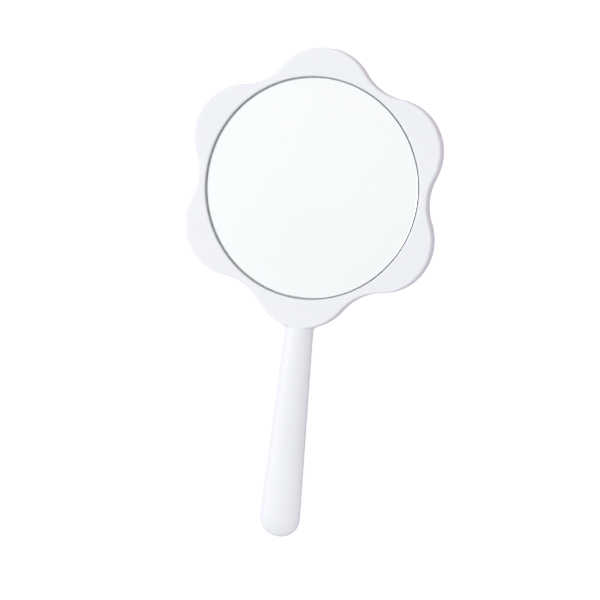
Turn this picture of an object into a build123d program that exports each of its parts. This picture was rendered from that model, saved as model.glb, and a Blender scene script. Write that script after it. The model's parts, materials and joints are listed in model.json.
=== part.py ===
from build123d import *

import os
from math import atan2, cos, hypot, pi, sin, sqrt

# Millimetres. The mirror lies on its back: +Z comes out of the glass, the handle points to -Y, and the
# origin is the centre of the flower head on the flat of its back.

# Flower head: round petals joined by round valleys, one petal pointing to +Y and one down the handle
PETALS = 6
PETAL_RADIUS = 26.35
PETAL_CENTRE = 43.95  # from the head's centre to the centre of a petal's arc
VALLEY_RADIUS = 27.6
HEAD_THICKNESS = 10.5
FRONT_EDGE_RADIUS = 1.0
BACK_EDGE_RADIUS = 3.5
WALL = 2.0
PARTING = HEAD_THICKNESS / 2  # height of the joint between the two shells

# Handle: an oval bar that widens evenly towards a rounded end
HANDLE_HALF_THICKNESS = 5.15
NECK_HALF_WIDTH = 7.25
NECK_Y = -71.5
END_HALF_WIDTH = 10.45
END_DOME = 9.5  # length of the rounded end
HANDLE_TIP_Y = -176.0
NECK_BLEND_RADIUS = 3.0  # inside corners between handle and petal
ROOT_Y = -61.0  # where the handle's solid starts, hidden inside the head

# Glass and what holds it
GLASS_RADIUS = 55.0
GLASS_THICKNESS = 1.5
GLASS_ARRIS = 0.25
GLASS_SINK = 0.3  # top of the glass below the face
SILVER_THICKNESS = 0.05
PAINT_THICKNESS = 0.1
TAPE_THICKNESS = 0.75
TAPE_RING_OUTER = 52.0
TAPE_RING_INNER = 42.0
TAPE_PAD_RADIUS = 20.0
RECESS_RADIUS = 55.5
RECESS_MOUTH_RADIUS = 1.0

# Screws under the glass
SCREWS = 6
SCREW_CIRCLE = 31.0
SCREW_HEAD_RADIUS = 1.9
SCREW_HEAD_HEIGHT = 1.1
SCREW_CORE_RADIUS = 0.8
SCREW_LENGTH = 4.8
SCREW_SLOT = (2.2, 0.5, 0.6)  # each bar of the cross recess: length, width, depth
COUNTERBORE_RADIUS = 2.2
COUNTERBORE_DEPTH = 1.2
CLEARANCE_HOLE_RADIUS = 1.1
PILOT_RADIUS = 0.85
PILOT_DEPTH = 3.5
BOSS_RADIUS = 3.0

# Moulded details inside the shells
FLOOR_THICKNESS = 3.1  # of the pan that carries the glass
FLOOR_RADIUS = 56.5
RIB = 1.2
RIB_CLEARANCE = 0.2
RIB_INNER, RIB_OUTER = 8.0, 55.0  # reach of the radial ribs
HANDLE_RIB_Y = (-88.0, -106.0, -124.0, -142.0, -160.0)
PEG_Y = (-79.0, -115.0, -151.0)
PEG_RADIUS = 1.2
PEG_LENGTH = 2.2  # below the parting plane
SOCKET_RADIUS = 2.5
SOCKET_CLEARANCE = 0.05
LIP_GAP = 0.1
LIP_HEIGHT = 0.9
SEAM_WIDTH = 0.24
SEAM_DEPTH = 0.2

GLASS_TOP = HEAD_THICKNESS - GLASS_SINK
GLASS_BOTTOM = GLASS_TOP - GLASS_THICKNESS
SILVER_BOTTOM = GLASS_BOTTOM - SILVER_THICKNESS
PAINT_BOTTOM = SILVER_BOTTOM - PAINT_THICKNESS
FLOOR_TOP = PAINT_BOTTOM - TAPE_THICKNESS
FLOOR_BOTTOM = FLOOR_TOP - FLOOR_THICKNESS
DOME_Y = HANDLE_TIP_Y + END_DOME
TAPER = (END_HALF_WIDTH - NECK_HALF_WIDTH) / (NECK_Y - DOME_Y)  # widening per millimetre
BIG = 400.0


def polar(radius, angle):
    return (radius * cos(angle), radius * sin(angle))


def flower(grow=0.0):
    """Face of the flower outline moved outwards by grow. Each valley arc is tangent to its two petals."""
    half_pitch = pi / PETALS
    reach = PETAL_RADIUS + VALLEY_RADIUS
    valley_centre = PETAL_CENTRE * cos(half_pitch) + sqrt(reach**2 - (PETAL_CENTRE * sin(half_pitch)) ** 2)
    share = (PETAL_RADIUS + grow) / reach
    meet_x = PETAL_CENTRE + share * (valley_centre * cos(half_pitch) - PETAL_CENTRE)
    meet_y = share * valley_centre * sin(half_pitch)
    meet_radius, meet_angle = hypot(meet_x, meet_y), atan2(meet_y, meet_x)
    crest = PETAL_CENTRE + PETAL_RADIUS + grow
    valley = valley_centre - VALLEY_RADIUS + grow
    edges = []
    for k in range(PETALS):
        axis = pi / 2 + 2 * half_pitch * k
        start, end = polar(meet_radius, axis - meet_angle), polar(meet_radius, axis + meet_angle)
        following = polar(meet_radius, axis + 2 * half_pitch - meet_angle)
        edges.append(ThreePointArc(start, polar(crest, axis), end))
        edges.append(ThreePointArc(end, polar(valley, axis + half_pitch), following))
    return make_face(edges)


def handle_half_width(y):
    return NECK_HALF_WIDTH + TAPER * (NECK_Y - y)


def handle_plan(grow=0.0):
    """Face of the handle seen from the front, moved outwards by grow, with its root inside the head."""
    root, end = handle_half_width(ROOT_Y) + grow, END_HALF_WIDTH + grow
    dome = EllipticalCenterArc((0, DOME_Y), end, END_DOME + grow, start_angle=180, arc_size=180)
    sides = Polyline((-end, DOME_Y), (-root, ROOT_Y), (root, ROOT_Y), (end, DOME_Y))
    return make_face([*sides.edges(), dome])


def plan(grow=0.0):
    """Outline of the whole mirror seen from the front, moved outwards by grow."""
    whole = flower(grow) + handle_plan(grow)
    corners = whole.vertices().filter_by(
        lambda v: abs(v.Y - NECK_Y) < 6 and abs(abs(v.X) - NECK_HALF_WIDTH - grow) < 1
    )
    return fillet(corners, NECK_BLEND_RADIUS - grow)


def ring(outer, inner, low, high):
    """Solid between two outlines of the whole mirror."""
    return Pos(0, 0, low) * extrude(plan(outer) - plan(inner), high - low)


def half_section(y, half_width, half_thickness):
    """Upper half of the handle's oval at y, flat on the parting plane."""
    arc = EllipticalCenterArc((0, 0), half_width, half_thickness, arc_size=180)
    across = Plane(origin=(0, y, PARTING), x_dir=(1, 0, 0), z_dir=(0, -1, 0))
    return across * make_face([arc, Line((-half_width, 0), (half_width, 0))])


def neck_blend_half_widths():
    """(y, half width) down the inside corner, an arc tangent to the petal and to the handle's side."""
    x = NECK_HALF_WIDTH + NECK_BLEND_RADIUS
    reach = PETAL_RADIUS + NECK_BLEND_RADIUS
    y = -PETAL_CENTRE - sqrt(reach**2 - x**2)
    top = -PETAL_CENTRE + (y + PETAL_CENTRE) * PETAL_RADIUS / reach
    steps = 6
    ys = [top + (y - top) * k / steps for k in range(steps + 1)]
    return [(v, x - sqrt(NECK_BLEND_RADIUS**2 - (v - y) ** 2)) for v in ys]


def handle_half(shrink=0.0):
    """Front half of the handle, made smaller all round by shrink."""
    thick = HANDLE_HALF_THICKNESS - shrink
    end = END_HALF_WIDTH - shrink
    blend = [] if shrink else neck_blend_half_widths()
    top_width = blend[0][1] if blend else handle_half_width(ROOT_Y) - shrink
    stations = [(ROOT_Y, top_width), *blend, (NECK_Y - 2, handle_half_width(NECK_Y - 2) - shrink), (DOME_Y, end)]
    bar = Part() + [
        loft([half_section(y0, w0, thick), half_section(y1, w1, thick)])
        for (y0, w0), (y1, w1) in zip(stations, stations[1:])
    ]
    # The ball's poles and seam are turned into the part that is cut away
    ball = Rot(X=-45) * Rot(Z=90) * Sphere(1)
    dome = Pos(0, DOME_Y, PARTING) * scale(ball, by=(end, END_DOME - shrink, thick))
    quarter = Pos(0, DOME_Y - BIG / 2, PARTING + BIG / 2) * Box(BIG, BIG, BIG)
    return bar + (dome & quarter)


def back_half(solid):
    return mirror(solid, about=Plane.XY.offset(PARTING))


def head():
    slab = extrude(flower(), HEAD_THICKNESS)
    slab = fillet(slab.edges().group_by(Axis.Z)[-1], FRONT_EDGE_RADIUS)
    return fillet(slab.edges().group_by(Axis.Z)[0], BACK_EDGE_RADIUS)


def above_parting():
    return Pos(0, 0, PARTING + BIG / 2) * Box(BIG, BIG, BIG)


def below_parting():
    return Pos(0, 0, PARTING - BIG / 2) * Box(BIG, BIG, BIG)


def seam_groove():
    """Fine shadow line round the joint of the shells."""
    return ring(1.0, -SEAM_DEPTH, PARTING - SEAM_WIDTH / 2, PARTING + SEAM_WIDTH / 2)


def tube(radius, low, high, x=0.0, y=0.0):
    """Upright cylinder from height low to high."""
    return Pos(x, y, (low + high) / 2) * Cylinder(radius, high - low)


def screw_places():
    return [polar(SCREW_CIRCLE, 2 * pi * k / SCREWS) for k in range(SCREWS)]


def handle_ribs(cavity):
    """Cross ribs that fill the handle's cavity, short of the parting plane."""
    ribs = [Pos(0, y, PARTING) * Box(BIG, RIB, BIG) for y in HANDLE_RIB_Y]
    clear = Pos(0, 0, PARTING) * Box(BIG, BIG, RIB_CLEARANCE)
    return (Part() + ribs) & cavity - clear


def front_shell():
    cavity = handle_half(WALL)
    pockets = Pos(0, 0, PARTING) * extrude(
        flower(-WALL) - Circle(RECESS_RADIUS + WALL), HEAD_THICKNESS - WALL - PARTING
    )
    shell = (head() & above_parting()) + handle_half() - pockets - cavity
    shell += tube(FLOOR_RADIUS, FLOOR_BOTTOM, PARTING)
    shell -= tube(RECESS_RADIUS, FLOOR_TOP, BIG)
    mouth = shell.edges().filter_by(GeomType.CIRCLE).group_by(Axis.Z)[-1]
    shell = fillet(mouth.filter_by(lambda e: abs(e.radius - RECESS_RADIUS) < 0.01), RECESS_MOUTH_RADIUS)
    for x, y in screw_places():
        shell -= tube(CLEARANCE_HOLE_RADIUS, FLOOR_BOTTOM, FLOOR_TOP, x, y)
        shell -= tube(COUNTERBORE_RADIUS, FLOOR_TOP - COUNTERBORE_DEPTH, FLOOR_TOP, x, y)
    shell += handle_ribs(cavity)
    lip_top = PARTING + LIP_HEIGHT + LIP_GAP
    shell -= ring(-WALL / 2, -WALL - LIP_GAP, PARTING, lip_top)
    for y in PEG_Y:
        shell += tube(PEG_RADIUS, PARTING - PEG_LENGTH, PARTING + HANDLE_HALF_THICKNESS - WALL / 2, 0, y)
    return shell - seam_groove()


def back_shell():
    cavity = back_half(handle_half(WALL))
    hollow = Pos(0, 0, WALL) * extrude(flower(-WALL), PARTING - WALL)
    shell = (head() & below_parting()) + back_half(handle_half()) - hollow - cavity
    shell += handle_ribs(cavity)
    for k, (x, y) in enumerate(screw_places()):
        turn = Rot(Z=360 * k / SCREWS)
        middle = ((RIB_INNER + RIB_OUTER) / 2, 0, (WALL + FLOOR_BOTTOM - RIB_CLEARANCE) / 2)
        shell += turn * Pos(*middle) * Box(RIB_OUTER - RIB_INNER, RIB, FLOOR_BOTTOM - RIB_CLEARANCE - WALL)
        shell += tube(BOSS_RADIUS, WALL, FLOOR_BOTTOM, x, y)
        shell -= tube(PILOT_RADIUS, FLOOR_BOTTOM - PILOT_DEPTH, FLOOR_BOTTOM, x, y)
    for y in PEG_Y:
        socket_foot = PARTING - HANDLE_HALF_THICKNESS + WALL / 2
        shell += tube(SOCKET_RADIUS, socket_foot, PARTING - RIB_CLEARANCE, 0, y)
        shell -= tube(PEG_RADIUS + SOCKET_CLEARANCE, PARTING - PEG_LENGTH - RIB_CLEARANCE, PARTING, 0, y)
    shell += ring(-WALL / 2 - LIP_GAP, -WALL, PARTING - LIP_GAP, PARTING + LIP_HEIGHT)
    return shell - seam_groove()


def mirror_glass():
    disc = tube(GLASS_RADIUS, GLASS_BOTTOM, GLASS_TOP)
    return chamfer(disc.edges().filter_by(GeomType.CIRCLE), GLASS_ARRIS)


def screw():
    """Pan-head screw standing on its head's underside: core only, no thread."""
    length, width, depth = SCREW_SLOT
    body = tube(SCREW_HEAD_RADIUS, 0, SCREW_HEAD_HEIGHT) + tube(SCREW_CORE_RADIUS, -SCREW_LENGTH, 0)
    body = fillet(body.edges().group_by(Axis.Z)[-1], SCREW_HEAD_HEIGHT / 2)
    body = chamfer(body.edges().group_by(Axis.Z)[0], SCREW_CORE_RADIUS / 2)
    for angle in (0, 90):
        body -= Rot(Z=angle) * Pos(0, 0, SCREW_HEAD_HEIGHT - depth / 2) * Box(length, width, depth)
    return body


def shell_screws():
    seat = FLOOR_TOP - COUNTERBORE_DEPTH
    return Compound(children=[Pos(x, y, seat) * screw() for x, y in screw_places()])


os.makedirs("parts", exist_ok=True)
export_step(front_shell(), "parts/front_shell.step")
export_step(back_shell(), "parts/back_shell.step")
export_step(mirror_glass(), "parts/mirror_glass.step")
export_step(tube(GLASS_RADIUS - GLASS_ARRIS, SILVER_BOTTOM, GLASS_BOTTOM), "parts/silver_coat.step")
export_step(tube(GLASS_RADIUS - GLASS_ARRIS, PAINT_BOTTOM, SILVER_BOTTOM), "parts/backing_paint.step")
tape_ring = tube(TAPE_RING_OUTER, FLOOR_TOP, PAINT_BOTTOM) - tube(TAPE_RING_INNER, FLOOR_TOP, PAINT_BOTTOM)
export_step(tape_ring, "parts/foam_tape_ring.step")
export_step(tube(TAPE_PAD_RADIUS, FLOOR_TOP, PAINT_BOTTOM), "parts/foam_tape_pad.step")
export_step(shell_screws(), "parts/shell_screws.step")
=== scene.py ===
import json
from math import pi, radians

import bmesh
import bpy
import numpy as np
from bpy.props import FloatProperty, FloatVectorProperty, IntProperty, PointerProperty
from bpy.types import Operator, Panel, PropertyGroup
from mathutils import Matrix, Vector


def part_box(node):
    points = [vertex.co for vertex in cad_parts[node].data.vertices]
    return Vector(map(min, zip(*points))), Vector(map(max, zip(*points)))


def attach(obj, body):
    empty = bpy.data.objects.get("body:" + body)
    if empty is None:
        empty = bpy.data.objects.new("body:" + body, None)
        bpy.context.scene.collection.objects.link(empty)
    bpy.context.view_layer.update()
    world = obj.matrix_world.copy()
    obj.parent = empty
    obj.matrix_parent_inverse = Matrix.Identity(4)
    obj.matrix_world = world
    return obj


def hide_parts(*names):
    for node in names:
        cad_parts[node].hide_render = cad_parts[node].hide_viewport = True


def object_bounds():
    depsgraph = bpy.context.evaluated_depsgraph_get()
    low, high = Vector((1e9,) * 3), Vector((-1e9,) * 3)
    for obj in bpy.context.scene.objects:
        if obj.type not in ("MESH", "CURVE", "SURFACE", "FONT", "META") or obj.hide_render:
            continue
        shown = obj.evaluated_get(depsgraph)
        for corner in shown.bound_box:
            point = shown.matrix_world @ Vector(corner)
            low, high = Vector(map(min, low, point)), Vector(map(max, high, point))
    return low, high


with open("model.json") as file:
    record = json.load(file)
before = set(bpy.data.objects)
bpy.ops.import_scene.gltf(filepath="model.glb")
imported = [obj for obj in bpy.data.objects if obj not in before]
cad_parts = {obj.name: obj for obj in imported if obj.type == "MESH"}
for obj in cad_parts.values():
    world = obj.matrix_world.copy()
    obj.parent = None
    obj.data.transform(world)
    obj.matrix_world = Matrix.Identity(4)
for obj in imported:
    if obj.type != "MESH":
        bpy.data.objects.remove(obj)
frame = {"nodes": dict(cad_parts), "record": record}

bl_info = {
    "name": "Flower Hand Mirror",
    "version": (1, 0, 0),
    "blender": (4, 5, 0),
    "location": "View3D > Sidebar > Hand Mirror",
    "description": "Builds a flower-headed hand mirror, its finishes and its studio from the packed frame",
    "category": "Add Mesh",
}

# Places read from the frame, in metres
CAD_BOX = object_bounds()
FRONT_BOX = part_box("front_shell")
BACK_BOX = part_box("back_shell")
GLASS_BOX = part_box("mirror_glass")
SILVER_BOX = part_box("silver_coat")
TAPE_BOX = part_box("foam_tape_ring")
CREST = FRONT_BOX[1].y
TIP_Y = FRONT_BOX[0].y
FACE_Z = FRONT_BOX[1].z
PARTING_Z = (FRONT_BOX[1].z + BACK_BOX[0].z) / 2
HEAD_HALF_THICKNESS = FACE_Z - PARTING_Z
GLASS_RADIUS = (GLASS_BOX[1].x - GLASS_BOX[0].x) / 2
RECESS_FLOOR_Z = TAPE_BOX[0].z
GRIP_Y = next(m["pos_m"][1] for m in frame["record"]["mounts"] if m["name"] == "handle_grip")

MM = 0.001
CONTACT_GAP = 0.05 * MM  # keeps the floor's face off the back's


# ---------------------------------------------------------------- settings


def length(name, description, default):
    return FloatProperty(name=name, description=description, default=default, unit="LENGTH", precision=5)


def share(name, description, default):
    return FloatProperty(
        name=name, description=description, default=default, min=0, max=1, subtype="FACTOR"
    )


def strength(name, description, default):
    return FloatProperty(name=name, description=description, default=default, min=0)


def rotation(name, description, degrees):
    return FloatProperty(name=name, description=description, default=radians(degrees), unit="ROTATION")


def tint(name, description, default):
    return FloatVectorProperty(
        name=name, description=description, default=default, min=0, max=1, subtype="COLOR"
    )


class HeadSettings(PropertyGroup):
    petals: IntProperty(name="Petals", description="Round petals, an even number", default=6, min=4)
    petal_radius: length("Petal radius", "Radius of each petal's arc", 26.35 * MM)
    valley_radius: length("Valley radius", "Radius of each hollow between two petals", 27.6 * MM)
    front_edge: length("Front edge", "Rounding of the front rim", 1.0 * MM)
    back_edge: length("Back edge", "Rounding of the back rim", 3.5 * MM)
    recess_gap: length("Recess gap", "Space round the glass", 0.5 * MM)
    mouth_radius: length("Mouth radius", "Rounding where the face turns down beside the glass", 1.0 * MM)
    seam_width: length("Seam width", "Width of the line between the two shells", 0.24 * MM)
    seam_depth: length("Seam depth", "Depth of the line between the two shells", 0.2 * MM)


class HandleSettings(PropertyGroup):
    half_thickness: length("Half thickness", "From the parting plane to back or front", 5.15 * MM)
    neck_y: length("Neck place", "Where the handle is narrowest", -71.5 * MM)
    neck_half_width: length("Neck half width", "Half the handle's width at the neck", 7.25 * MM)
    end_half_width: length("End half width", "Half the handle's width before its round end", 10.45 * MM)
    end_length: length("End length", "Length of the round end", 9.5 * MM)
    corner_radius: length("Corner radius", "Inside corner between handle and petal", 3.0 * MM)
    shoulder: length("Shoulder", "Softness of the step from handle up to face", 0.9 * MM)
    shoulder_slope: strength("Shoulder slope", "Steepness of the step from handle up to face", 4.0)


class GlassSettings(PropertyGroup):
    arris: length("Arris", "Width of the ground corner of the glass", 0.25 * MM)
    film_gap: length("Film gap", "Air that keeps the faces of glass and silver apart", 0.01 * MM)


class FinishSettings(PropertyGroup):
    shell: tint("Shell", "White moulded plastic", (0.914, 0.927, 0.983))
    shell_shade: tint("Shell shade", "Plastic where the tone drifts darker", (0.895, 0.909, 0.969))
    soil: tint("Soil", "Film in the seam and on handled places", (0.42, 0.40, 0.38))
    glass: tint("Glass", "Clear float glass", (0.99, 0.997, 0.996))
    ground_edge: tint("Ground edge", "Ground rim of the glass", (0.4, 0.44, 0.43))
    silver: tint("Silver", "Reflecting film", (0.965, 0.965, 0.975))
    paint: tint("Backing paint", "Paint that guards the silver", (0.16, 0.17, 0.18))
    foam: tint("Foam tape", "Double-sided mounting foam", (0.78, 0.78, 0.74))
    screw: tint("Screws", "Zinc-plated steel", (0.62, 0.64, 0.67))
    grain: share("Grain", "Strength of the fine moulded texture", 0.35)
    wear: share("Wear", "Polish and soil on rims and grip", 0.3)
    dust: share("Dust", "Specks lying on the faces", 0.15)


class StageSettings(PropertyGroup):
    floor: tint("Floor", "Pale floor sheet", (0.61, 0.51, 0.585))
    floor_glow: strength("Floor glow", "Lift of the floor sheet towards white", 0.75)
    tent: strength("Tent", "Brightness of the tent all round", 0.665)
    tent_sides: strength("Tent sides", "Extra brightness low at the sides", 0.275)
    tent_lobe: strength("Tent lobe", "Extra brightness of the round lobe", 0.366)
    lobe: FloatVectorProperty(
        name="Lobe",
        description="Direction of the round lobe",
        default=(-0.55, 0.15, 0.82),
        subtype="DIRECTION",
    )
    handle_side: tint("Handle side", "Colour of the tent beyond the handle", (0.945, 0.98, 1.0))
    crest_side: tint("Crest side", "Colour of the tent beyond the top petal", (1.0, 0.975, 0.965))
    key: FloatProperty(name="Key", description="Power of the softbox", default=2.7, unit="POWER")
    key_size: length("Key size", "Side of the square softbox", 0.7)
    key_place: FloatVectorProperty(
        name="Key place",
        description="Middle of the softbox",
        default=(-0.95, 0.15, 0.75),
        unit="LENGTH",
    )
    azimuth: rotation("Azimuth", "Camera's turn about the mirror", 101.505)
    elevation: rotation("Elevation", "Camera's height over the floor", 73.068)
    roll: rotation("Roll", "Camera's turn in its own view", -95.129)
    distance: length("Distance", "From the aim to the camera", 1.4965)
    aim: FloatVectorProperty(
        name="Aim",
        description="Point in the middle of the view",
        default=(0.00045, -0.05606, 0.0105),
        unit="LENGTH",
    )
    lens: FloatProperty(name="Lens", description="Focal length in millimetres", default=180.0)


# ---------------------------------------------------------------- outline of the shells


def direction(angle):
    """Unit vectors, one row for each angle."""
    return np.stack([np.cos(angle), np.sin(angle)], axis=-1)


class Flower:
    """Circles that make the flower outline, in a petal's own frame with the petal along the first axis."""

    def __init__(self, head):
        self.half_pitch = pi / head.petals
        self.petal_radius = head.petal_radius
        self.valley_radius = head.valley_radius
        self.petal_centre = CREST - head.petal_radius
        across = self.petal_centre * np.sin(self.half_pitch)
        reach = self.petal_radius + self.valley_radius
        self.valley_centre = self.petal_centre * np.cos(self.half_pitch) + np.sqrt(reach**2 - across**2)
        link = self.valley_centre * direction(self.half_pitch) - [self.petal_centre, 0]
        self.link = link / reach
        self.petal_turn = np.arctan2(link[1], link[0])
        self.valley_turn = self.petal_turn - self.half_pitch

    def inside(self, x, y):
        """Distance inwards from the outline. The plane is folded onto half a petal, then the distance is
        taken from the petal's circle on one side of the line that joins the two centres, and from the
        valley's circle on the other."""
        pitch = 2 * self.half_pitch
        turn = np.abs((np.arctan2(y, x) - pi / 2 + self.half_pitch) % pitch - self.half_pitch)
        radius = np.hypot(x, y)
        u = radius * np.cos(turn)
        v = radius * np.sin(turn)
        petal = self.petal_radius - np.hypot(u - self.petal_centre, v)
        centre = self.valley_centre * direction(self.half_pitch)
        valley = np.hypot(u - centre[0], v - centre[1]) - self.valley_radius
        on_petal = self.link[0] * v - self.link[1] * (u - self.petal_centre) < 0
        return np.where(on_petal, petal, valley)


class Bar:
    """The handle: an oval bar that widens evenly to a round end, with a round corner at its petal."""

    def __init__(self, handle, flower):
        self.thick = handle.half_thickness
        self.end_width = handle.end_half_width
        self.end_length = handle.end_length
        self.dome_y = TIP_Y + handle.end_length
        self.neck_y = handle.neck_y
        self.neck_width = handle.neck_half_width
        self.taper = (self.end_width - self.neck_width) / (self.neck_y - self.dome_y)
        self.corner = handle.corner_radius
        self.corner_x = self.neck_width + self.corner
        reach = flower.petal_radius + self.corner
        self.corner_y = -flower.petal_centre - np.sqrt(reach**2 - self.corner_x**2)
        self.corner_turn = np.arctan2(self.corner_x, -flower.petal_centre - self.corner_y)
        self.root_y = -flower.petal_centre - flower.petal_radius * np.cos(self.corner_turn)

    def half_width(self, y):
        """Half width at y: the even taper, then the corner's arc, held where the arc meets the petal."""
        tapered = self.neck_width + self.taper * (self.neck_y - y)
        climb = np.clip(y, self.corner_y, self.root_y) - self.corner_y
        flared = self.corner_x - np.sqrt(self.corner**2 - climb**2)
        return np.where(y < self.corner_y, tapered, flared)

    def height(self, x, y):
        """Height of the oval over the parting plane: thickness times the root of one less the squared share
        of the half width, and past the dome's start less the squared share of the end's length too."""
        beyond = np.clip(self.dome_y - y, 0, None) / self.end_length
        across = x / self.half_width(np.maximum(y, self.dome_y))
        return self.thick * np.sqrt(np.clip(1 - across**2 - beyond**2, 0, None))


def arc(centre, radius, start, end, spacing):
    """Points on an arc and the direction from its centre to each of them, evenly spaced."""
    steps = max(2, int(np.ceil(abs(end - start) * radius / spacing)))
    out = direction(np.linspace(start, end, steps + 1))
    return np.asarray(centre) + radius * out, out


def half_outline(flower, bar, foot_radius):
    """Right half of the outline from the top petal's crest down to the handle's tip: its points, their
    inward directions, and the foot of the spoke that runs inwards from each point."""
    points, inward = [], []
    coarse, fine = 0.8 * MM, 0.25 * MM
    last = round(pi / (2 * flower.half_pitch))  # the petal that carries the handle
    for k in range(last + 1):
        axis = pi / 2 - 2 * flower.half_pitch * k
        start = axis + flower.petal_turn if k else axis
        end = axis - flower.petal_turn if k < last else axis + bar.corner_turn
        spacing = coarse if k < last else fine
        centre = flower.petal_centre * direction(axis)
        p, out = arc(centre, flower.petal_radius, start, end, spacing)
        points.append(p)
        inward.append(-out)
        if k < last:
            valley = axis - flower.half_pitch
            centre = flower.valley_centre * direction(valley)
            start, end = valley + pi - flower.valley_turn, valley + pi + flower.valley_turn
            p, out = arc(centre, flower.valley_radius, start, end, coarse)
            points.append(p)
            inward.append(out)
    first_near_neck = sum(len(p) for p in points[:-1])
    p, out = arc((bar.corner_x, bar.corner_y), bar.corner, pi / 2 + bar.corner_turn, pi, fine)
    points.append(p)
    inward.append(out)
    last_near_neck = sum(len(p) for p in points) - 1
    y = np.linspace(bar.corner_y, bar.dome_y, 90)
    points.append(np.stack([bar.half_width(y), y], axis=-1))
    side = np.array([-1, -bar.taper]) / np.hypot(1, bar.taper)
    inward.append(np.tile(side, (len(y), 1)))
    turn = np.linspace(0, pi / 2, 41)
    dome = direction(turn) * [bar.end_width, -bar.end_length]
    points.append(dome + [0, bar.dome_y])
    slope = -direction(turn) * [1 / bar.end_width, -1 / bar.end_length]
    inward.append(slope / np.linalg.norm(slope, axis=1, keepdims=True))
    points, inward = np.concatenate(points), np.concatenate(inward)

    # Feet: on the circle round the glass for the head, on the middle line for the handle
    feet = points * (foot_radius / np.linalg.norm(points, axis=1, keepdims=True))
    along = points[last_near_neck:, 1]
    feet[last_near_neck:] = np.stack([0 * along, np.maximum(along, bar.dome_y)], axis=-1)
    near = slice(first_near_neck, last_near_neck + 1)
    gone = np.linalg.norm(np.diff(points[near], axis=0), axis=1)
    gone = np.concatenate([[0], np.cumsum(gone)]) / gone.sum()
    turn_left = np.arctan2(feet[first_near_neck, 1], feet[first_near_neck, 0]) + pi / 2
    on_circle = foot_radius * turn_left
    total = on_circle - foot_radius - bar.corner_y
    travelled = gone * total
    bottom = np.argmin(np.abs(travelled - on_circle))
    travelled[bottom] = on_circle
    turn = turn_left - np.minimum(travelled, on_circle) / foot_radius
    drop = np.maximum(travelled - on_circle, 0)
    feet[near] = foot_radius * direction(turn - pi / 2) - np.stack([0 * drop, drop], axis=-1)
    points[[0, -1], 0] = 0
    feet[[0, first_near_neck + bottom], 0] = 0

    kept = np.concatenate([[True], np.linalg.norm(np.diff(points, axis=0), axis=1) > 1e-7])
    circle_end = int(kept[: first_near_neck + bottom + 1].sum()) - 1
    return points[kept], inward[kept], feet[kept], circle_end


def both_sides(right):
    """Closed loop from its right half: the half, then its mirror image back up without the shared ends."""
    left = right[-2:0:-1] * [-1, 1]
    return np.concatenate([right, left])


# ---------------------------------------------------------------- surfaces


PROFILE_STEPS = 400  # fine steps along a spoke, before its rows are spread
SHELL_ROWS = 44  # rows kept on each spoke
DISC_STEPS = 256  # steps round a turned disc
TURN_LENGTH = 1.2 * MM  # what a radian of turning counts as, beside length, when rows are spread
SHOULDER_FADE = 2.5 * MM  # depth behind the rim over which the shoulder's softness dies away
WELD_DISTANCE = 0.001 * MM
SHARP_ANGLE = radians(32)


def smooth_max(a, b, soft):
    """Larger of two heights with a round inside corner: half the overlap of their soft bands, squared."""
    overlap = np.clip(soft - np.abs(a - b), 0, None)
    return np.maximum(a, b) + overlap**2 / (4 * soft)


def shell_height(x, y, flower, bar, edge, handle):
    """Height over the parting plane: the slab with its round edge inside the flower, falling steeply
    outside it, joined softly with the handle's oval and never over the face."""
    inside = flower.inside(x, y)
    short = np.clip(1 - inside / edge, 0, 1)
    rounded = HEAD_HALF_THICKNESS - edge + edge * np.sqrt(1 - short**2)
    outside = HEAD_HALF_THICKNESS - edge + handle.shoulder_slope * inside
    slab = np.where(inside < 0, outside, rounded)
    soft = handle.shoulder * np.clip(1 - inside / SHOULDER_FADE, 0.001, 1)
    return np.minimum(smooth_max(slab, bar.height(x, y), soft), HEAD_HALF_THICKNESS)


def spokes(points, feet, height, lowest, rows):
    """Rows of a surface from each outline point to its foot. Each spoke's profile is worked out finely,
    then its rows are spread evenly by length plus turning, so that they crowd where the profile bends."""
    share_in = np.linspace(0, 1, PROFILE_STEPS) ** 2
    plan = points[:, None] + share_in[:, None] * (feet - points)[:, None]
    rise = np.maximum(height(plan[..., 0], plan[..., 1]), lowest + 1e-7)
    plan = np.concatenate([plan[:, :1], plan], axis=1)
    rise = np.concatenate([np.full((len(points), 1), lowest), rise], axis=1)
    step_in = np.linalg.norm(np.diff(plan, axis=1), axis=2)
    step_up = np.diff(rise, axis=1)
    turning = np.abs(np.diff(np.arctan2(step_up, step_in), axis=1, prepend=pi / 2))
    cost = np.cumsum(np.hypot(step_in, step_up) + TURN_LENGTH * turning, axis=1)
    cost = np.concatenate([np.zeros((len(points), 1)), cost], axis=1)
    spoke = 2 * np.arange(len(points))[:, None]
    known = (cost / cost[:, -1:] + spoke).ravel()
    wanted = np.linspace(0, 1, rows) + spoke
    columns = [np.interp(wanted, known, c.ravel()) for c in (plan[..., 0], plan[..., 1], rise)]
    return np.stack(columns, axis=-1).transpose(1, 0, 2)


def level(plan, height):
    """One row of points at one height."""
    return np.concatenate([plan, np.full((len(plan), 1), height)], axis=1)


def turned(ring, radii, heights):
    """Rows got by scaling a ring of points on a circle to each radius and lifting it to each height."""
    unit = ring / np.linalg.norm(ring, axis=1, keepdims=True)
    return np.stack([level(unit * r, z) for r, z in zip(radii, heights)])


def grid_faces(rows, columns, first):
    """Four corners of every cell of a grid whose columns run in a closed loop."""
    at = first + np.arange(rows * columns).reshape(rows, columns)
    right = np.roll(at, -1, axis=1)
    return np.stack([at[:-1], right[:-1], right[1:], at[1:]], axis=-1).reshape(-1, 4)


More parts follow.
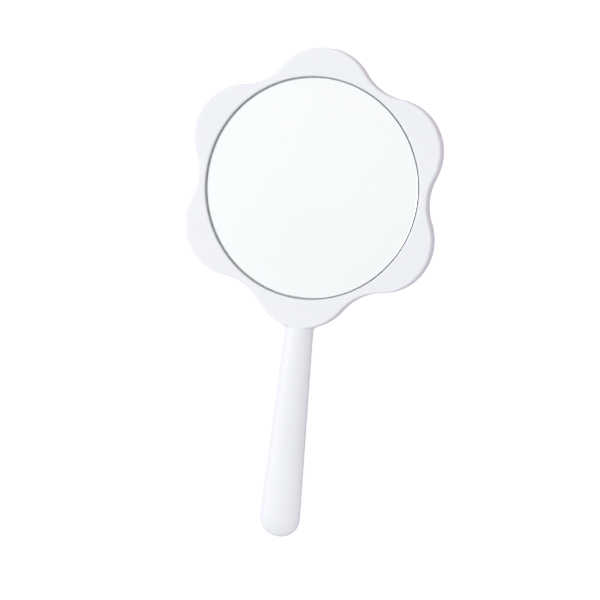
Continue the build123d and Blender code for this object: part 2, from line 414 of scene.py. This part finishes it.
def solid_piece(name, grids):
    """A closed mesh from grids whose borders meet: welded along seams and poles, faces turned outwards."""
    faces, first = [], 0
    for grid in grids:
        faces.append(grid_faces(grid.shape[0], grid.shape[1], first))
        first += grid.shape[0] * grid.shape[1]
    points = np.concatenate([g.reshape(-1, 3) for g in grids])
    mesh = bpy.data.meshes.new(name)
    mesh.from_pydata(points.tolist(), [], np.concatenate(faces).tolist())
    work = bmesh.new()
    work.from_mesh(mesh)
    bmesh.ops.remove_doubles(work, verts=work.verts, dist=WELD_DISTANCE)
    bmesh.ops.recalc_face_normals(work, faces=work.faces)
    work.to_mesh(mesh)
    work.free()
    mesh.shade_smooth()
    mesh.set_sharp_from_angle(angle=SHARP_ANGLE)
    piece = bpy.data.objects.new(name, mesh)
    bpy.context.scene.collection.objects.link(piece)
    return piece


def points_of(piece):
    """Vertices as an array with one row each."""
    flat = np.empty(len(piece.data.vertices) * 3, np.float32)
    piece.data.vertices.foreach_get("co", flat)
    return flat.reshape(-1, 3)


def paint_attribute(piece, name, values):
    """Stores one number for each vertex, for the materials to read."""
    layer = piece.data.attributes.new(name, "FLOAT", "POINT")
    layer.data.foreach_set("value", np.asarray(values, np.float32))


def fall(distance, reach):
    """One at no distance, falling smoothly towards nothing over reach."""
    return np.exp(-((distance / reach) ** 2))


def mark_shell(piece, flower, bar, edge):
    """Stores where rims, the seam and the grip are, as masks from nothing to one."""
    x, y, z = points_of(piece).T
    up = np.abs(z - PARTING_Z)
    inside = flower.inside(x, y)
    corner = np.hypot(inside - 0.3 * edge, up - HEAD_HALF_THICKNESS + 0.3 * edge)
    paint_attribute(piece, "rim", fall(corner, 0.5 * edge + 0.4 * MM))
    paint_attribute(piece, "seam", fall(up, 0.35 * MM) * (up < 2 * MM))
    paint_attribute(piece, "grip", fall(y - GRIP_Y, 32 * MM) * (y < bar.root_y))


# ---------------------------------------------------------------- finishes


class Nodes:
    """Adds and links nodes of one tree, keeping each step to a line."""

    def __init__(self, tree):
        self.tree = tree
        self.count = 0

    def add(self, kind, inputs=None, **settings):
        node = self.tree.nodes.new(kind)
        node.location = (220 * (self.count % 8), -260 * (self.count // 8))
        self.count += 1
        for key, value in settings.items():
            setattr(node, key, value)
        for key, value in (inputs or {}).items():
            self.feed(node.inputs[key], value)
        return node

    def feed(self, socket, value):
        if isinstance(value, bpy.types.NodeSocket):
            self.tree.links.new(value, socket)
        elif socket.type == "RGBA":
            socket.default_value = (*value[:3], 1)
        else:
            socket.default_value = value

    def math(self, operation, first, second=0.0, clamp=False):
        node = self.add("ShaderNodeMath", {0: first, 1: second}, operation=operation, use_clamp=clamp)
        return node.outputs[0]

    def mix(self, share_of_second, first, second):
        node = self.add("ShaderNodeMix", {0: share_of_second, 6: first, 7: second}, data_type="RGBA")
        return node.outputs[2]

    def noise(self, position, scale, detail=2.0, roughness=0.5):
        inputs = {"Vector": position, "Scale": scale, "Detail": detail, "Roughness": roughness}
        return self.add("ShaderNodeTexNoise", inputs).outputs[0]

    def band(self, value, low, high, new_low=0.0, new_high=1.0):
        inputs = {0: value, 1: low, 2: high, 3: new_low, 4: new_high}
        return self.add("ShaderNodeMapRange", inputs, interpolation_type="SMOOTHSTEP").outputs[0]


def node_group(name, inputs, outputs):
    """New shader group with its sockets, and its inner nodes helper."""
    group = bpy.data.node_groups.new(name, "ShaderNodeTree")
    for label, kind, default in inputs:
        socket = group.interface.new_socket(label, in_out="INPUT", socket_type=kind)
        if default is not None:
            socket.default_value = default
    for label, kind in outputs:
        group.interface.new_socket(label, in_out="OUTPUT", socket_type=kind)
    nodes = Nodes(group)
    source = nodes.add("NodeGroupInput").outputs
    result = nodes.add("NodeGroupOutput").inputs
    return group, nodes, source, result


FLOAT = "NodeSocketFloat"
VECTOR = "NodeSocketVector"
COLOR = "NodeSocketColor"


def tone_drift_group():
    """Slow change of tone over a moulding, with a faint finer mottle."""
    inputs = [
        ("Position", VECTOR, None),
        ("Color", COLOR, (0.8, 0.8, 0.8, 1)),
        ("Shade", COLOR, (0.7, 0.7, 0.7, 1)),
        ("Size", FLOAT, 0.05),
    ]
    group, nodes, source, result = node_group("tone_drift", inputs, [("Color", COLOR)])
    scale = nodes.math("DIVIDE", 1.0, source["Size"])
    slow = nodes.noise(source["Position"], scale, detail=1.0)
    mottle = nodes.noise(source["Position"], nodes.math("MULTIPLY", scale, 14.0), detail=2.0)
    drift = nodes.band(slow, 0.35, 0.7)
    spots = nodes.band(mottle, 0.45, 0.8, 0.0, 0.35)
    either = nodes.math("MAXIMUM", drift, spots)
    nodes.feed(result["Color"], nodes.mix(either, source["Color"], source["Shade"]))
    return group


def moulded_grain_group():
    """Fine spark-eroded texture of a mould: a tight noise with a looser one under it."""
    inputs = [("Position", VECTOR, None), ("Size", FLOAT, 0.0004), ("Amount", FLOAT, 0.5)]
    outputs = [("Height", FLOAT), ("Mask", FLOAT)]
    group, nodes, source, result = node_group("moulded_grain", inputs, outputs)
    scale = nodes.math("DIVIDE", 1.0, source["Size"])
    fine = nodes.noise(source["Position"], scale, detail=3.0, roughness=0.6)
    loose = nodes.noise(source["Position"], nodes.math("MULTIPLY", scale, 0.12), detail=2.0)
    both = nodes.math("ADD", nodes.math("MULTIPLY", fine, 0.7), nodes.math("MULTIPLY", loose, 0.3))
    nodes.feed(result["Height"], nodes.math("MULTIPLY", both, source["Amount"]))
    nodes.feed(result["Mask"], nodes.band(both, 0.3, 0.7))
    return group


def wear_group():
    """Broken-up mask of a place that hands rub, from a smooth mask."""
    inputs = [
        ("Position", VECTOR, None),
        ("Place", FLOAT, 0.0),
        ("Size", FLOAT, 0.004),
        ("Amount", FLOAT, 0.5),
    ]
    group, nodes, source, result = node_group("handling_wear", inputs, [("Mask", FLOAT)])
    scale = nodes.math("DIVIDE", 1.0, source["Size"])
    broken = nodes.noise(source["Position"], scale, detail=4.0, roughness=0.65)
    patches = nodes.band(broken, 0.38, 0.72)
    worn = nodes.math("MULTIPLY", nodes.math("MULTIPLY", source["Place"], patches), source["Amount"])
    nodes.feed(result["Mask"], nodes.math("MINIMUM", worn, 1.0))
    return group


def speck_group():
    """Sparse specks of dust: the small middles of random cells."""
    inputs = [("Position", VECTOR, None), ("Size", FLOAT, 0.004), ("Amount", FLOAT, 0.2)]
    group, nodes, source, result = node_group("dust_specks", inputs, [("Mask", FLOAT)])
    scale = nodes.math("DIVIDE", 1.0, source["Size"])
    cells = nodes.add("ShaderNodeTexVoronoi", {"Vector": source["Position"], "Scale": scale})
    speck = nodes.band(cells.outputs["Distance"], 0.03, 0.09, 1.0, 0.0)
    chance = nodes.band(nodes.noise(source["Position"], nodes.math("MULTIPLY", scale, 0.2)), 0.5, 0.7)
    kept = nodes.math("MULTIPLY", speck, chance)
    nodes.feed(result["Mask"], nodes.math("MULTIPLY", kept, source["Amount"]))
    return group


GROUP_MAKERS = {
    "tone_drift": tone_drift_group,
    "moulded_grain": moulded_grain_group,
    "handling_wear": wear_group,
    "dust_specks": speck_group,
}


def shared_group(name):
    """The group of this name, made the first time that it is asked for."""
    return bpy.data.node_groups.get(name) or GROUP_MAKERS[name]()


def place_group(nodes, name, inputs):
    node = nodes.add("ShaderNodeGroup", node_tree=shared_group(name))
    for key, value in inputs.items():
        nodes.feed(node.inputs[key], value)
    return node.outputs


def new_material(name):
    """A material with its nodes helper, its surface shader and its object position."""
    material = bpy.data.materials.new(name)
    material.use_nodes = True
    material.node_tree.nodes.clear()
    nodes = Nodes(material.node_tree)
    shader = nodes.add("ShaderNodeBsdfPrincipled")
    nodes.add("ShaderNodeOutputMaterial", {"Surface": shader.outputs[0]})
    position = nodes.add("ShaderNodeTexCoord").outputs["Object"]
    return material, nodes, shader, position


def attribute(nodes, name):
    return nodes.add("ShaderNodeAttribute", attribute_name=name).outputs["Fac"]


def bump(nodes, shader, height, distance, strength=1.0):
    inputs = {"Height": height, "Distance": distance, "Strength": strength}
    nodes.feed(shader.inputs["Normal"], nodes.add("ShaderNodeBump", inputs).outputs[0])


def shell_plastic(finish):
    """Satin white moulding: drifting tone, fine grain, soil in the seam, rims and grip rubbed smoother."""
    found = bpy.data.materials.get("satin_moulding")
    if found:
        return found
    material, nodes, shader, position = new_material("satin_moulding")
    drift = {"Position": position, "Color": finish.shell, "Shade": finish.shell_shade, "Size": 0.06}
    tone = place_group(nodes, "tone_drift", drift)["Color"]
    texture = {"Position": position, "Size": 0.0005, "Amount": finish.grain}
    grain = place_group(nodes, "moulded_grain", texture)
    handled = nodes.math("MAXIMUM", attribute(nodes, "rim"), attribute(nodes, "grip"))
    wear = {"Position": position, "Place": handled, "Size": 0.005, "Amount": finish.wear}
    worn = place_group(nodes, "handling_wear", wear)["Mask"]
    specks = {"Position": position, "Size": 0.005, "Amount": finish.dust}
    dust = place_group(nodes, "dust_specks", specks)["Mask"]
    seam = nodes.math("MULTIPLY", attribute(nodes, "seam"), 0.2)
    tone = nodes.mix(seam, tone, finish.soil)
    tone = nodes.mix(nodes.math("MULTIPLY", worn, 0.06), tone, finish.soil)
    tone = nodes.mix(nodes.math("MULTIPLY", dust, 0.5), tone, (0.6, 0.58, 0.55))
    rough = nodes.band(grain["Mask"], 0.0, 1.0, 0.36, 0.46)
    rough = nodes.math("SUBTRACT", rough, nodes.math("MULTIPLY", worn, 0.12))
    rough = nodes.math("ADD", rough, nodes.math("MULTIPLY", dust, 0.4), clamp=True)
    nodes.feed(shader.inputs["Base Color"], tone)
    nodes.feed(shader.inputs["Roughness"], rough)
    shader.inputs["IOR"].default_value = 1.49
    shader.inputs["Subsurface Weight"].default_value = 0.4
    shader.inputs["Subsurface Radius"].default_value = (1.0, 0.9, 0.8)
    shader.inputs["Subsurface Scale"].default_value = 0.0015
    shader.inputs["Coat Weight"].default_value = 0.12
    shader.inputs["Coat Roughness"].default_value = 0.3
    bump(nodes, shader, grain["Height"], 0.00002, 0.5)
    return material


def float_glass(finish):
    """Clear glass with a matt ground rim, and a few specks of dust on its face."""
    material, nodes, shader, position = new_material("ground_glass")
    ground = attribute(nodes, "ground")
    specks = {"Position": position, "Size": 0.007, "Amount": finish.dust}
    dust = place_group(nodes, "dust_specks", specks)["Mask"]
    grain = place_group(nodes, "moulded_grain", {"Position": position, "Size": 0.0002, "Amount": ground})
    nodes.feed(shader.inputs["Base Color"], nodes.mix(ground, finish.glass, finish.ground_edge))
    matt = nodes.math("MULTIPLY", ground, 0.12)
    rough = nodes.math("ADD", matt, nodes.math("MULTIPLY", dust, 0.4), clamp=True)
    nodes.feed(shader.inputs["Roughness"], rough)
    shader.inputs["IOR"].default_value = 1.52
    shader.inputs["Transmission Weight"].default_value = 1.0
    bump(nodes, shader, grain["Height"], 0.00002)
    return material


def silver_film(finish):
    """Reflecting film, almost even, with the faintest cloud in its tone."""
    material, nodes, shader, position = new_material("silver_film")
    shade = tuple(0.985 * c for c in finish.silver)
    drift = {"Position": position, "Color": finish.silver, "Shade": shade, "Size": 0.08}
    nodes.feed(shader.inputs["Base Color"], place_group(nodes, "tone_drift", drift)["Color"])
    shader.inputs["Metallic"].default_value = 1.0
    shader.inputs["Roughness"].default_value = 0.0
    return material


def grey_paint(finish):
    """Rolled protective paint: orange-peel surface and a drifting grey."""
    material, nodes, shader, position = new_material("grey_paint")
    shade = tuple(0.8 * c for c in finish.paint)
    drift = {"Position": position, "Color": finish.paint, "Shade": shade, "Size": 0.02}
    grain = place_group(nodes, "moulded_grain", {"Position": position, "Size": 0.0015, "Amount": 1.0})
    nodes.feed(shader.inputs["Base Color"], place_group(nodes, "tone_drift", drift)["Color"])
    nodes.feed(shader.inputs["Roughness"], nodes.band(grain["Mask"], 0.0, 1.0, 0.45, 0.6))
    bump(nodes, shader, grain["Height"], 0.00005)
    return material


def tape_foam(finish):
    """Open-celled foam tape: pale cell walls, with painted shade darkening the hollow cells between them.
    """
    found = bpy.data.materials.get("open_foam")
    if found:
        return found
    material, nodes, shader, position = new_material("open_foam")
    shade = tuple(0.85 * c for c in finish.foam)
    drift = {"Position": position, "Color": finish.foam, "Shade": shade, "Size": 0.015}
    tone = place_group(nodes, "tone_drift", drift)["Color"]
    cells = nodes.add("ShaderNodeTexVoronoi", {"Vector": position, "Scale": 2800.0}).outputs["Distance"]
    # painted shade: the hollow middle of each cell is mixed towards a dark grey
    hollow_shade_mask = nodes.band(cells, 0.1, 0.5, 1.0, 0.0)
    depth = nodes.math("MULTIPLY", hollow_shade_mask, 0.4)
    nodes.feed(shader.inputs["Base Color"], nodes.mix(depth, tone, (0.3, 0.3, 0.28)))
    nodes.feed(shader.inputs["Roughness"], nodes.band(cells, 0.0, 0.6, 0.95, 0.8))
    bump(nodes, shader, cells, 0.0001)
    return material


def zinc_steel(finish):
    """Zinc plating: bright metal with cloudy roughness and fine grain."""
    material, nodes, shader, position = new_material("zinc_steel")
    shade = tuple(0.8 * c for c in finish.screw)
    drift = {"Position": position, "Color": finish.screw, "Shade": shade, "Size": 0.002}
    grain = place_group(nodes, "moulded_grain", {"Position": position, "Size": 0.0003, "Amount": 0.6})
    nodes.feed(shader.inputs["Base Color"], place_group(nodes, "tone_drift", drift)["Color"])
    nodes.feed(shader.inputs["Roughness"], nodes.band(grain["Mask"], 0.0, 1.0, 0.25, 0.45))
    shader.inputs["Metallic"].default_value = 1.0
    bump(nodes, shader, grain["Height"], 0.00002)
    return material


def dress(piece, material):
    """Gives every material slot of a piece, or its only one, this material."""
    if not piece.data.materials:
        piece.data.materials.append(material)
    for slot in piece.material_slots:
        slot.material = material


# ---------------------------------------------------------------- pieces


def shell_grids(scene, edge):
    """Outer surface and parting face of one shell, as heights over the parting plane, and the ring of feet
    on the circle round the glass."""
    head, handle = scene.hand_mirror_head, scene.hand_mirror_handle
    flower = Flower(head)
    bar = Bar(handle, flower)
    foot_radius = GLASS_RADIUS + head.recess_gap + head.mouth_radius
    half_points, half_inward, half_feet, circle_end = half_outline(flower, bar, foot_radius)
    points, inward, feet = both_sides(half_points), both_sides(half_inward), both_sides(half_feet)
    land = head.seam_width / 2

    def height(x, y):
        return shell_height(x, y, flower, bar, edge, handle)

    outer = spokes(points, feet, height, land, SHELL_ROWS)
    groove = points + head.seam_depth * inward
    skirt = np.stack([level(feet, 0.0), level(groove, 0.0), level(groove, land), level(points, land)])
    ring = both_sides(half_feet[: circle_end + 1])
    return flower, bar, [outer, skirt], ring


def stand(grids, upwards):
    """Turns heights over the parting plane into places in the frame."""
    return [g * [1, 1, upwards] + [0, 0, PARTING_Z] for g in grids]


class HANDMIRROR_OT_front_shell(Operator):
    """Front moulding: flower face with the round recess for the glass, and the front half of the handle"""

    bl_idname = "hand_mirror.front_shell"
    bl_label = "Front Shell"

    def execute(self, context):
        scene = context.scene
        head = scene.hand_mirror_head
        flower, bar, grids, ring = shell_grids(scene, head.front_edge)
        turn = np.linspace(0, pi / 2, 9)
        recess = GLASS_RADIUS + head.recess_gap
        mouth = recess + head.mouth_radius * (1 - np.sin(turn))
        drop = head.mouth_radius * (1 - np.cos(turn))
        floor = RECESS_FLOOR_Z - PARTING_Z
        radii = [*mouth, recess, 0.75 * recess, 0.5 * recess, 0.25 * recess, 0.0]
        heights = [*(HEAD_HALF_THICKNESS - drop), *([floor] * 5)]
        grids += [turned(ring, radii, heights), turned(ring, [mouth[0], 0.0], [0.0, 0.0])]
        piece = solid_piece("front_shell_skin", stand(grids, 1))
        mark_shell(piece, flower, bar, head.front_edge)
        dress(piece, shell_plastic(scene.hand_mirror_finish))
        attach(piece, "root")
        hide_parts("front_shell")
        return {"FINISHED"}


class HANDMIRROR_OT_back_shell(Operator):
    """Back moulding: plain flower back with a well rounded rim, and the back half of the handle"""

    bl_idname = "hand_mirror.back_shell"
    bl_label = "Back Shell"

    def execute(self, context):
        scene = context.scene
        head = scene.hand_mirror_head
        flower, bar, grids, ring = shell_grids(scene, head.back_edge)
        radii = np.linalg.norm(ring[0]) * np.array([1, 0.75, 0.5, 0.25, 0])
        grids += [turned(ring, radii, [HEAD_HALF_THICKNESS] * 5), turned(ring, radii[[0, 4]], [0.0, 0.0])]
        piece = solid_piece("back_shell_skin", stand(grids, -1))
        mark_shell(piece, flower, bar, head.back_edge)
        dress(piece, shell_plastic(scene.hand_mirror_finish))
        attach(piece, "root")
        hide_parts("back_shell")
        return {"FINISHED"}


def disc(name, profile):
    """Round piece turned about the head's axis from (radius, height) pairs that start and end on it."""
    turn = np.linspace(0, 2 * pi, DISC_STEPS, endpoint=False)
    radii, heights = zip(*profile)
    return solid_piece(name, [turned(direction(turn), radii, heights)])


class HANDMIRROR_OT_glass(Operator):
    """Round float glass with a ground corner at front and back"""

    bl_idname = "hand_mirror.glass"
    bl_label = "Glass"

    def execute(self, context):
        sizes = context.scene.hand_mirror_glass
        low, high, r, a = GLASS_BOX[0].z, GLASS_BOX[1].z, GLASS_RADIUS, sizes.arris
        rim = [(r - a, low), (r, low + a), (r, high - a), (r - a, high)]
        faces_in = [0.75 * r, 0.5 * r, 0.25 * r, 0.0]
        under = [(q, low) for q in reversed(faces_in)] + [(r - 2 * a, low)]
        over = [(r - 2 * a, high)] + [(q, high) for q in faces_in]
        piece = disc("glass_disc", [*under, *rim, *over])
        x, y, z = points_of(piece).T
        paint_attribute(piece, "ground", np.hypot(x, y) > r - 0.5 * a)
        dress(piece, float_glass(context.scene.hand_mirror_finish))
        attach(piece, "root")
        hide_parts("mirror_glass")
        return {"FINISHED"}


class HANDMIRROR_OT_coatings(Operator):
    """Silver film behind the glass and the paint that guards it"""

    bl_idname = "hand_mirror.coatings"
    bl_label = "Silver and Paint"

    def execute(self, context):
        finish = context.scene.hand_mirror_finish
        low, high = SILVER_BOX
        top = high.z - context.scene.hand_mirror_glass.film_gap
        profile = [(0.0, low.z), (high.x, low.z), (high.x, top), (0.5 * high.x, top), (0.0, top)]
        piece = disc("silver_disc", profile)
        dress(piece, silver_film(finish))
        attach(piece, "root")
        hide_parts("silver_coat")
        dress(frame["nodes"]["backing_paint"], grey_paint(finish))
        return {"FINISHED"}


class HANDMIRROR_OT_tape(Operator):
    """Finish of the foam ring and pad that hold the glass"""

    bl_idname = "hand_mirror.tape"
    bl_label = "Foam Tape"

    def execute(self, context):
        foam = tape_foam(context.scene.hand_mirror_finish)
        for node in ("foam_tape_ring", "foam_tape_pad"):
            dress(frame["nodes"][node], foam)
        return {"FINISHED"}


class HANDMIRROR_OT_screws(Operator):
    """Finish of the six screws that join the shells under the glass"""

    bl_idname = "hand_mirror.screws"
    bl_label = "Screws"

    def execute(self, context):
        dress(frame["nodes"]["shell_screws"], zinc_steel(context.scene.hand_mirror_finish))
        return {"FINISHED"}


# ---------------------------------------------------------------- stage


FLOOR_REACH = 4.0
BACKDROP_STRENGTH = 1.1  # a little over white, so that it stays plain white


def floor_sheet(stage):
    """Wide pale sheet under the mirror, faintly uneven in tone, lifted to white for the camera alone."""
    mesh = bpy.data.meshes.new("floor_sheet")
    corners = [FLOOR_REACH * d for d in np.array([(-1, -1), (1, -1), (1, 1), (-1, 1)])]
    mesh.from_pydata([(x, y, CAD_BOX[0].z - CONTACT_GAP) for x, y in corners], [], [(0, 1, 2, 3)])
    sheet = bpy.data.objects.new("floor_sheet", mesh)
    bpy.context.scene.collection.objects.link(sheet)
    material, nodes, shader, position = new_material("floor_paper")
    shade = tuple(0.96 * c for c in stage.floor)
    drift = {"Position": position, "Color": stage.floor, "Shade": shade, "Size": 0.4}
    tone = place_group(nodes, "tone_drift", drift)["Color"]
    nodes.feed(shader.inputs["Base Color"], tone)
    shader.inputs["Roughness"].default_value = 0.9
    shader.inputs["Emission Color"].default_value = (1, 1, 1, 1)
    seen = nodes.add("ShaderNodeLightPath").outputs["Is Camera Ray"]
    nodes.feed(shader.inputs["Emission Strength"], nodes.math("MULTIPLY", seen, stage.floor_glow))
    dress(sheet, material)


def light_tent(stage):
    """Tent of light, a little stronger low at left and right and in one round lobe, cool on the handle's
    side and warm on the crest's. The camera sees it as plain white."""
    world = bpy.data.worlds.new("light_tent")
    world.use_nodes = True
    world.node_tree.nodes.clear()
    nodes = Nodes(world.node_tree)
    towards = nodes.add("ShaderNodeTexCoord").outputs["Generated"]
    axes = nodes.add("ShaderNodeSeparateXYZ", {0: towards}).outputs
    sides = nodes.math("MULTIPLY", nodes.math("ABSOLUTE", axes[0]), stage.tent_sides)
    middle = Vector(stage.lobe).normalized()
    dot = nodes.add("ShaderNodeVectorMath", {0: towards, 1: middle}, operation="DOT_PRODUCT")
    narrow = nodes.math("POWER", nodes.math("MAXIMUM", dot.outputs["Value"], 0.0), 4.0)
    lobe = nodes.math("MULTIPLY", narrow, stage.tent_lobe)
    glow = nodes.math("ADD", nodes.math("ADD", stage.tent, sides), lobe)
    along = nodes.band(axes[1], -0.8, 0.8)
    colour = nodes.mix(along, stage.handle_side, stage.crest_side)
    light = nodes.add("ShaderNodeBackground", {"Color": colour, "Strength": glow})
    plain = nodes.add("ShaderNodeBackground", {"Color": (1, 1, 1), "Strength": BACKDROP_STRENGTH})
    seen = nodes.add("ShaderNodeLightPath").outputs["Is Camera Ray"]
    both = nodes.add("ShaderNodeMixShader", {0: seen, 1: light.outputs[0], 2: plain.outputs[0]})
    nodes.add("ShaderNodeOutputWorld", {"Surface": both.outputs[0]})
    bpy.context.scene.world = world


def softbox(stage):
    """Large square softbox at the upper left, turned to the mirror."""
    lamp = bpy.data.lights.new("softbox", "AREA")
    lamp.size = stage.key_size
    lamp.energy = stage.key
    holder = bpy.data.objects.new("softbox", lamp)
    place = Vector(stage.key_place)
    holder.matrix_world = Matrix.LocRotScale(place, (-place).to_track_quat("-Z", "Y"), None)
    bpy.context.scene.collection.objects.link(holder)


def camera(stage):
    """Long lens high over the mirror's right side, turned in its own view by the roll."""
    a, e = stage.azimuth, stage.elevation
    back = Vector((np.sin(a) * np.cos(e), -np.cos(a) * np.cos(e), np.sin(e)))
    turn = (-back).to_track_quat("-Z", "Y").to_matrix() @ Matrix.Rotation(stage.roll, 3, "Z")
    data = bpy.data.cameras.new("camera")
    data.lens = stage.lens
    data.clip_start, data.clip_end = 0.05, 50.0
    holder = bpy.data.objects.new("camera", data)
    holder.matrix_world = Matrix.LocRotScale(Vector(stage.aim) + stage.distance * back, turn, None)
    bpy.context.scene.collection.objects.link(holder)
    bpy.context.scene.camera = holder


class HANDMIRROR_OT_stage(Operator):
    """Floor sheet, light tent, softbox and camera"""

    bl_idname = "hand_mirror.stage"
    bl_label = "Stage"

    def execute(self, context):
        stage = context.scene.hand_mirror_stage
        floor_sheet(stage)
        light_tent(stage)
        softbox(stage)
        camera(stage)
        context.scene.view_settings.view_transform = "Standard"
        return {"FINISHED"}


# ---------------------------------------------------------------- add-on


SETTINGS = {
    "hand_mirror_head": HeadSettings,
    "hand_mirror_handle": HandleSettings,
    "hand_mirror_glass": GlassSettings,
    "hand_mirror_finish": FinishSettings,
    "hand_mirror_stage": StageSettings,
}
OPERATORS = (
    HANDMIRROR_OT_front_shell,
    HANDMIRROR_OT_back_shell,
    HANDMIRROR_OT_glass,
    HANDMIRROR_OT_coatings,
    HANDMIRROR_OT_tape,
    HANDMIRROR_OT_screws,
    HANDMIRROR_OT_stage,
)


class HANDMIRROR_PT_panel(Panel):
    """Sizes, colours and building steps of the hand mirror"""

    bl_idname = "HANDMIRROR_PT_panel"
    bl_label = "Hand Mirror"
    bl_space_type = "VIEW_3D"
    bl_region_type = "UI"
    bl_category = "Hand Mirror"

    def draw(self, context):
        for key, group in SETTINGS.items():
            box = self.layout.box()
            box.label(text=group.__name__.replace("Settings", ""))
            for name in group.__annotations__:
                box.prop(getattr(context.scene, key), name)
        for step in OPERATORS:
            self.layout.operator(step.bl_idname)


CLASSES = (*SETTINGS.values(), *OPERATORS, HANDMIRROR_PT_panel)


def register():
    for cls in CLASSES:
        bpy.utils.register_class(cls)
    for key, group in SETTINGS.items():
        setattr(bpy.types.Scene, key, PointerProperty(type=group))


def unregister():
    for key in SETTINGS:
        delattr(bpy.types.Scene, key)
    for cls in reversed(CLASSES):
        bpy.utils.unregister_class(cls)


def main():
    register()
    for step in OPERATORS:
        group, name = step.bl_idname.split(".")
        getattr(getattr(bpy.ops, group), name)()


if __name__ == "__main__":
    main()
